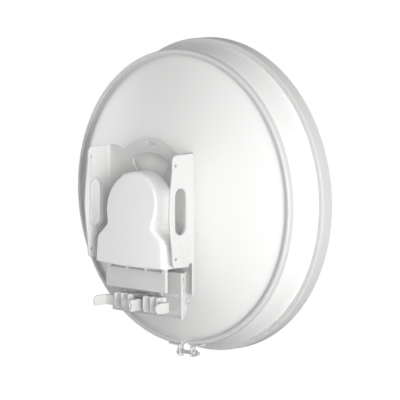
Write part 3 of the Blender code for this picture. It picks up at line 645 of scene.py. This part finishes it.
for side, name in ((-1, "left"), (1, "right")):
    def facing_flange(u, v, w, side=side):
        """The flange's own leaning frame, with w measured out from the dish axis."""
        return DISH + Vector((side * (w + (u - PLATE_BACK) * math.tan(FLANGE_LEAN)), u, v))

    lean = math.degrees(FLANGE_LEAN)
    bend = (PLATE_HALF - FRAME_FOLD, PLATE_BACK + SHEET - FRAME_FOLD)
    reach = FAR + bend[1]
    slide = reach * math.tan(FLANGE_LEAN)
    fold = arc(bend, FRAME_FOLD, 90, -lean)
    fold += [(fold[-1][0] - slide, -FAR), (fold[-1][0] - slide - SHEET, -FAR)]
    fold += arc(bend, FRAME_FOLD - SHEET, -lean, 90)
    folded = [(side * x, y) for x, y in fold]
    flange = cut_sheet(f"{name}_flange", folded, facing_up, PLATE_BOTTOM, FLANGE_TOP)
    form = [(-0.08, PLATE_BOTTOM - OUT), (-0.08, FLANGE_TOP + OUT)]
    form += [(-0.094, FLANGE_TOP + OUT), (-0.094, FLANGE_TOP)]
    form += arc((FLANGE_REAR + FLANGE_CORNER, FLANGE_TOP - FLANGE_CORNER), FLANGE_CORNER, 90, 180)
    for i in range(1, 24):
        z = SCREW_HOLES[0] + (SCREW_HOLES[1] - SCREW_HOLES[0]) * i / 24
        form.append((FLANGE_REAR + (FLANGE_BULGE - FLANGE_REAR) * math.sin(math.pi * i / 24) ** 1.5, z))
    form += arc((FLANGE_REAR + FLANGE_CORNER, FLANGE_END + FLANGE_CORNER), FLANGE_CORNER, 180, 270)
    form += [(STRIP_REAR - 2 * NOTCH - 0.001, FLANGE_END)]
    form += arc((STRIP_REAR - NOTCH, FLANGE_END + 0.002), NOTCH, 180, 0, 12)
    form += [(STRIP_REAR, PLATE_BOTTOM - OUT)]
    work(flange, cut_sheet("flange_form", form, facing_side, -FAR, FAR), "INTERSECT")
    inner_face = PLATE_HALF - SHEET
    drill(flange, hand_slot(), facing_flange, inner_face - OUT, PLATE_HALF + OUT)
    edging = cut_sheet(
        f"{name}_grip", hand_slot(PRESSED), facing_flange, inner_face - GRIP, inner_face + 0.0002)
    drill(edging, hand_slot(0.0002), facing_flange, inner_face - OUT, PLATE_HALF + OUT)
    round_edges(edging, 0.0013, 3)
    finish(edging, "antenna", "white_paint", powder_coat)
    for z in SCREW_HOLES:
        screw = ring((SCREW_HOLE_Y, z), SCREW_HOLE, 32)
        drill(flange, screw, facing_flange, inner_face - OUT, PLATE_HALF + OUT)
    work(plate, flange, "UNION")
apply(plate, "WELD", merge_threshold=0.00005)
round_edges(plate, 0.0006, 2)
frame_nodes = ("mount_plate", "side_flange_left", "side_flange_right")
finish(plate, "antenna", "white_paint", powder_coat, *frame_nodes)

EAR_TOP = -0.136
EAR_ROUND = 0.0065

for outer, name in ((EAR_LEFT, "left"), (EAR_RIGHT, "right")):
    seat = PLATE_BACK - SEAT
    form = [(seat, EAR_TOP), (seat - SHEET, EAR_TOP)] + arc(centre, EAR_ROUND, 170, 360, 24)
    form += [(seat, PLATE_BOTTOM + 0.002)]
    low, high = sorted((outer, outer - math.copysign(SHEET, outer)))
    ear = cut_sheet(f"{name}_ear", form, facing_side, low, high)
    drill(ear, ring(centre, PIVOT_HOLE, 24), facing_side, low - OUT, high + OUT)
    round_edges(ear, 0.0005, 2)
    finish(ear, "antenna", "white_paint", powder_coat, f"tilt_ear_{name}")

# Reflector
# A paraboloid spun from 2.5 mm aluminium sheet and painted white, with a flat flange round its
# edge and a spacer ring between its middle and the carrying plate.


def turn(name, points, steps=240):
    """A closed section of (radius, y) points spun about the dish axis."""
    deselect()
    bpy.ops.mesh.primitive_circle_add(vertices=len(points), radius=0.01, fill_type="NOTHING")
    piece = bpy.context.object
    piece.name = name
    for corner, (radius, y) in zip(piece.data.vertices, points):
        corner.co = DISH + Vector((0, y, radius))
    edit_all()
    bpy.ops.mesh.spin(steps=steps, angle=math.tau, center=DISH, axis=(0, 1, 0))
    bpy.ops.mesh.select_all(action="SELECT")
    bpy.ops.mesh.remove_doubles(threshold=0.000002)
    bpy.ops.mesh.delete_loose(use_verts=True, use_edges=True, use_faces=False)
    end_edit()
    return piece


# Satin paint on spun aluminium: smoother than powder coat, with a very faint cloudiness.
dish_paint, tree, shader = new_material("satin_dish_paint", "EEEEED", 0.4, 0)
place = add_node(tree, "ShaderNodeTexCoord")
cloud = add_node(tree, "ShaderNodeTexNoise", inputs={
    "Vector": place.outputs["Object"], "Scale": 5, "Detail": 4})
dull = add_node(tree, "ShaderNodeMapRange", inputs={
    "Value": cloud.outputs["Fac"], "From Min": 0.3, "From Max": 0.7, "To Min": 0.36, "To Max": 0.46})
peel = add_node(tree, "ShaderNodeTexNoise", inputs={
    "Vector": place.outputs["Object"], "Scale": 1000 / PEEL_MM, "Detail": 2})
bump = add_node(tree, "ShaderNodeBump", inputs={
    "Height": peel.outputs["Fac"], "Strength": 0.03, "Distance": 0.0004})
tree.links.new(dull.outputs[0], shader.inputs["Roughness"])
tree.links.new(bump.outputs[0], shader.inputs["Normal"])

REFLECTOR_EDGE = 0.2935
REFLECTOR_DEPTH = 0.085
REFLECTOR_SKIN = 0.0025
FLANGE_RADIUS = 0.3032
FLANGE_BACK = 0.0025
HOLE = 0.030
SPACER_RING = 0.046


def reflector_y(radius):
    return -REFLECTOR_DEPTH + (REFLECTOR_DEPTH + FLANGE_BACK) * (radius / REFLECTOR_EDGE) ** 2


radii = [HOLE + (REFLECTOR_EDGE - 0.001 - HOLE) * i / 40 for i in range(41)]
back = [(r, reflector_y(r)) for r in radii]
skin = [(r, reflector_y(r) + REFLECTOR_SKIN) for r in reversed(radii)]
section = back + [(REFLECTOR_EDGE + 0.0005, FLANGE_BACK)]
section += [(FLANGE_RADIUS, FLANGE_BACK), (FLANGE_RADIUS, FLANGE_BACK + REFLECTOR_SKIN)]
reflector = turn("dish", section + skin, 360)
finish(reflector, "antenna", "white_paint", dish_paint, "reflector")

hub_front = PLATE_BACK + SHEET + SEAT
hub = turn("spacer_ring", [
    (HOLE, hub_front), (SPACER_RING - 0.0005, hub_front), (SPACER_RING, hub_front + 0.0005),
    (SPACER_RING, reflector_y(SPACER_RING) - SEAT), (HOLE, reflector_y(HOLE) - SEAT)], 96)
finish(hub, "antenna", "grey_casting", cast_paint, "hub_ring")

# Shroud and radome
# The shroud is a slightly conical wall of painted aluminium sheet, lined inside.  The radome is a
# domed cover moulded in plastic, whose rim caps the shroud's end and turns in behind it.

# Moulded ABS, dull white: a fine even texture from the mould, about 0.6 mm.
MOULD_MM = 0.6
abs_plastic, tree, shader = new_material("moulded_abs", "D0D0CF", 0.5, 0)
place = add_node(tree, "ShaderNodeTexCoord")
mould = add_node(tree, "ShaderNodeTexNoise", inputs={
    "Vector": place.outputs["Object"], "Scale": 1000 / MOULD_MM, "Detail": 2})
bump = add_node(tree, "ShaderNodeBump", inputs={
    "Height": mould.outputs["Fac"], "Strength": 0.08, "Distance": 0.0002})
tree.links.new(bump.outputs[0], shader.inputs["Normal"])

SHROUD_SHEET = 0.003
SHROUD_FRONT_RADIUS = 0.3125
CAP_BACK = 0.0736
CAP_FRONT = 0.1033
CAP_SKIN = 0.003
CAP_ROUND = 0.003
CAP_EDGE = 0.004
CAP_DOME = 0.012
CAP_SLOPE = 0.0012
FRONT_RADIUS = 0.325
shroud_back = FLANGE_BACK + REFLECTOR_SKIN + SEAT
shroud_end = CAP_FRONT - CAP_SKIN - SEAT


def shroud_radius(y):
    lean = (SHROUD_FRONT_RADIUS - FLANGE_RADIUS) / (CAP_BACK - shroud_back)
    return FLANGE_RADIUS + lean * (y - shroud_back)


stations = [shroud_back + (shroud_end - shroud_back) * i / 6 for i in range(7)]
outside = [(shroud_radius(y), y) for y in stations]
inside = [(r - SHROUD_SHEET, y) for r, y in reversed(outside)]
shroud = turn("shroud_wall", outside + inside, 360)
finish(shroud, "antenna", "white_shroud", dish_paint, "shroud")

wall = FRONT_RADIUS - CAP_SKIN
lip = shroud_radius(CAP_BACK) - 0.0004
dome = [(wall * i / 24, CAP_FRONT + CAP_DOME * (1 - (i / 24) ** 2)) for i in range(24)]
cap = dome + arc((FRONT_RADIUS - CAP_EDGE, CAP_FRONT - CAP_EDGE), CAP_EDGE, 80, 0, 6)
cap += arc((FRONT_RADIUS - CAP_ROUND, CAP_BACK + CAP_ROUND), CAP_ROUND, 0, -90, 8)
cap += [(lip, CAP_BACK + CAP_SLOPE), (lip, CAP_BACK + CAP_SKIN + CAP_SLOPE)]
cap += [(wall, CAP_BACK + CAP_SKIN + CAP_SLOPE), (wall, CAP_FRONT - CAP_SKIN)]
cap += [(r, y - CAP_SKIN) for r, y in reversed(dome)]
radome = turn("front_cover", cap, 360)
finish(radome, "antenna", "white_shroud", abs_plastic, "radome")

# Clamp band
# A rolled steel band of hook section that pulls reflector and shroud together.  It is split at
# the bottom, where a screw draws two welded lugs towards each other.

BAND = 0.306
BAND_BACK = -0.006
BAND_FRONT = 0.008
BAND_LIP = 0.2975
BAND_SHEET = 0.0025
BAND_LIP_SHEET = 0.002
SPLIT_HALF = 0.010
LUG_MIDDLE = 0.0125
LUG_INNER = 0.0155
LUG_OUTER = 0.0185
LUG_REACH = 0.032
LUG_DROP = 0.025
LUG_HALF = 0.00675
LUG_BEND = 0.003
BAND_SCREW = 0.004
BAND_HOLE = 0.0043
BAND_HEX = 0.013
BAND_TAIL = 0.015

hook = FLANGE_BACK - SEAT
section = arc((BAND_LIP + 0.001, BAND_BACK + 0.001), 0.001, 180, 270, 4)
section += arc((BAND - 0.004, BAND_BACK + 0.004), 0.004, 270, 360, 8)
section += arc((BAND - 0.001, BAND_FRONT - 0.001), 0.001, 0, 90, 3)
section += [(shroud_radius(BAND_FRONT) + SEAT, BAND_FRONT), (BAND - BAND_SHEET, hook)]
section += [(BAND - BAND_SHEET, BAND_BACK + BAND_LIP_SHEET), (BAND_LIP, BAND_BACK + BAND_LIP_SHEET)]
band = turn("rolled_band", section, 360)
split = [(LUG_MIDDLE - SPLIT_HALF, -0.32), (LUG_MIDDLE - SPLIT_HALF, -0.28)]
split += [(LUG_MIDDLE + SPLIT_HALF, -0.28), (LUG_MIDDLE + SPLIT_HALF, -0.32)]
drill(band, split, facing_back, -0.02, 0.02)
finish(band, "antenna", "white_paint", powder_coat, "clamp_band")

middle_y = (BAND_BACK + BAND_FRONT) / 2
bolt_z = -BAND - 0.015
for side, name in ((-1, "left"), (1, "right")):
    inner_x = LUG_MIDDLE + side * LUG_INNER
    outer_x = inner_x + side * SHEET
    seat = BAND + SEAT
    foot = [(inner_x + x, -math.sqrt(seat ** 2 - (inner_x + x) ** 2))
            for x in [side * LUG_REACH * i / 8 for i in range(9)]]
    under = [(x, z - SHEET) for x, z in reversed(foot[1:])]
    end = foot[0][1] - LUG_DROP
    points = foot + [p for p in under if abs(p[0] - inner_x) > 0.006]
    bend = (outer_x + side * LUG_BEND, foot[0][1] - SHEET - LUG_BEND)
    points += arc(bend, LUG_BEND, 90, 180 if side > 0 else 0, 4)
    points += [(outer_x, end), (inner_x, end)]
    lug = cut_sheet(f"{name}_lug", points, facing_back, middle_y - LUG_HALF, middle_y + LUG_HALF)
    drill(lug, ring((middle_y, bolt_z), BAND_HOLE, 32), facing_side, -0.05, 0.05)
    round_edges(lug, 0.0005, 2)
    finish(lug, "antenna", "white_paint", powder_coat, f"band_lug_{name}")

left_x = LUG_MIDDLE - LUG_OUTER
right_x = LUG_MIDDLE + LUG_OUTER
head = hexagon(BAND_HEX, (middle_y, bolt_z))
bolt = cut_sheet("band_screw", head, facing_side, left_x - 0.0058, left_x - SEAT)
round_edges(bolt, 0.0006, 2)
round_bar = ring((middle_y, bolt_z), BAND_SCREW, 32)
shank = cut_sheet("screw_shank", round_bar, facing_side, left_x - 0.003, right_x + BAND_TAIL)
round_edges(shank, 0.0006, 2)
work(bolt, shank, "UNION")
finish(bolt, "antenna", "steel", zinc, "band_bolt")
nut = cut_sheet("band_screw_nut", head, facing_side, right_x + SEAT, right_x + 0.007)
round_edges(nut, 0.0007, 2)
drill(nut, ring((middle_y, bolt_z), BAND_HOLE, 32), facing_side, right_x - 0.01, right_x + 0.02)
finish(nut, "antenna", "steel", zinc, "band_nut")

# Radio
# A bell-shaped cover moulded in plastic over a cast base.  Its back arches from side to side and
# swells towards the foot, where its sides are most rounded; the cast panel shows below its crisp edge.

COVER_FRONT = -0.100
COVER_REAR = -0.162
COVER_LEAN = 0.024
COVER_ARCH = 2.3
COVER_CROWN = 0.75
DOME = 0.0715
DOME_Z = -0.0075
WAIST_Z = -0.034
COVER_SIDE = ((0.1009, -0.095), (0.0985, -0.077), (0.0925, -0.068), (0.0685, -0.050), (0.0645, -0.044))
COVER_HALF = 0.1025
COVER_BOTTOM = -0.126
COVER_SAG = 0.002
DOME_ROUNDING = 0.006
FOOT_ROUNDING = 0.013
LOWER_ROUNDING = 0.003
ROUNDING_RINGS = (0.0003, 0.0005, 0.0008, 0.0012, 0.0018, 0.0024, 0.003, 0.003)
GRID = 0.004
FLAT_BACK = -0.150
SWELL_TOP = -0.050
SWELL_RUN = 0.035

# Moulded ABS of the radio, lighter and a little glossier than the dish's cover.
shell_plastic = abs_plastic.copy()
shell_plastic.name = "radio_shell_abs"
shader = shell_plastic.node_tree.nodes["Principled BSDF"]
shader.inputs["Base Color"].default_value = (*linear("F6F6F5"), 1)
shader.inputs["Roughness"].default_value = 0.48


def bell(inset):
    """Outline of the cover seen from behind, drawn in by inset."""
    bottom = COVER_BOTTOM + inset
    side = [((COVER_HALF - inset) * i / 8, bottom - COVER_SAG * (1 - (i / 8) ** 2)) for i in range(9)]
    side += [(x - inset, z) for x, z in COVER_SIDE]
    waist = math.degrees(math.asin((WAIST_Z - DOME_Z) / DOME))
    side += arc((0, DOME_Z), DOME - inset, waist, 90, 32)
    return side + [(-x, z) for x, z in reversed(side) if x > 0.000001]


def cover_back(x, z):
    rise = max(z - COVER_BOTTOM, 0) / (DOME_Z + DOME - COVER_BOTTOM)
    return COVER_REAR + COVER_LEAN * rise ** COVER_ARCH + COVER_CROWN * x * x


def to_edge(x, z, outline):
    """How far a place on the cover lies from its outline."""
    nearest = 1.0
    for (ax, az), (bx, bz) in zip(outline, outline[1:] + outline[:1]):
        run_x, run_z = bx - ax, bz - az
        along = ((x - ax) * run_x + (z - az) * run_z) / (run_x ** 2 + run_z ** 2)
        along = min(max(along, 0), 1)
        nearest = min(nearest, math.hypot(x - ax - along * run_x, z - az - along * run_z))
    return nearest


def rounded_off(deep, rounding):
    """How far a rounded edge falls away at a depth inside it."""
    left_over = max(rounding - deep, 0)
    return rounding - math.sqrt(max(rounding ** 2 - left_over ** 2, 0))


outline = bell(0)
open_below = [(x * 1.05, z - 0.1) if z < COVER_BOTTOM + 0.001 else (x, z) for x, z in outline]
cover = cut_sheet("radio_shell", outline, facing_back, COVER_FRONT, FLAT_BACK)
bpy.ops.object.mode_set(mode="EDIT")
bpy.ops.mesh.select_all(action="DESELECT")
bpy.ops.mesh.select_mode(type="FACE")
bpy.ops.object.mode_set(mode="OBJECT")
for face in cover.data.polygons:
    face.select = (face.center - DISH).y < FLAT_BACK + 0.001
bpy.ops.object.mode_set(mode="EDIT")
for width in ROUNDING_RINGS:
    bpy.ops.mesh.inset(thickness=width)
bpy.ops.mesh.quads_convert_to_tris()
for step in range(-52, 26):
    bpy.ops.mesh.select_all(action="SELECT")
    bpy.ops.mesh.bisect(plane_co=DISH + Vector((step * GRID + 0.001, 0, 0)), plane_no=(1, 0, 0))
for step in range(-33, 17):
    bpy.ops.mesh.select_all(action="SELECT")
    bpy.ops.mesh.bisect(plane_co=DISH + Vector((0, 0, step * GRID + 0.001)), plane_no=(0, 0, 1))
end_edit()
for corner in cover.data.vertices:
    seat = corner.co - DISH
    if seat.y < FLAT_BACK + 0.0001:
        low = min(max((SWELL_TOP - seat.z) / SWELL_RUN, 0), 1)
        rounding = DOME_ROUNDING + (FOOT_ROUNDING - DOME_ROUNDING) * low
        off_side = rounded_off(to_edge(seat.x, seat.z, open_below), rounding)
        lower_edge = COVER_BOTTOM - COVER_SAG * (1 - (seat.x / COVER_HALF) ** 2)
        off_foot = rounded_off(max(seat.z - lower_edge, 0), LOWER_ROUNDING)
        corner.co.y = DISH.y + cover_back(seat.x, seat.z) + max(off_side, off_foot)
finish(cover, "antenna", "white_plastic", shell_plastic, "radio_cover")

base = cut_sheet("radio_back", bell(0.005), facing_back, PLATE_BACK - SEAT, COVER_FRONT + SEAT)
finish(base, "antenna", "white_plastic", cast_paint, "radio_base")

PANEL_TOP = COVER_BOTTOM - COVER_SAG - SEAT
PANEL_BOTTOM = -0.178
PANEL_HALF = 0.086
PANEL_BACK = -0.136
PANEL_SHEET = 0.007
SLIT_HALF = 0.083
SLIT_TOP = -0.1310
SLIT_BOTTOM = -0.1362
TABS = (-0.0785, -0.0268, 0.0262, 0.0785)
TAB_HALF = 0.003
TAB_TOP = -0.1300
TAB_BOTTOM = -0.1378


def upright(left, right, bottom, top):
    return [(left, bottom), (right, bottom), (right, top), (left, top)]


panel = cut_sheet("radio_panel", upright(-PANEL_HALF, PANEL_HALF, PANEL_BOTTOM, PANEL_TOP),
                  facing_back, PANEL_BACK, PANEL_BACK + PANEL_SHEET)
round_edges(panel, 0.0012, 3)
slit = upright(-SLIT_HALF, SLIT_HALF, SLIT_BOTTOM, SLIT_TOP)
drill(panel, slit, facing_back, PANEL_BACK - OUT, PANEL_BACK + 0.005)
for x in TABS:
    tab = cut_sheet("tab", upright(x - TAB_HALF, x + TAB_HALF, TAB_BOTTOM, TAB_TOP),
                    facing_back, PANEL_BACK - 0.002, PANEL_BACK + 0.006)
    round_edges(tab, 0.0006, 2)
    work(panel, tab, "UNION")
finish(panel, "antenna", "white_plastic", cast_paint, "port_panel")
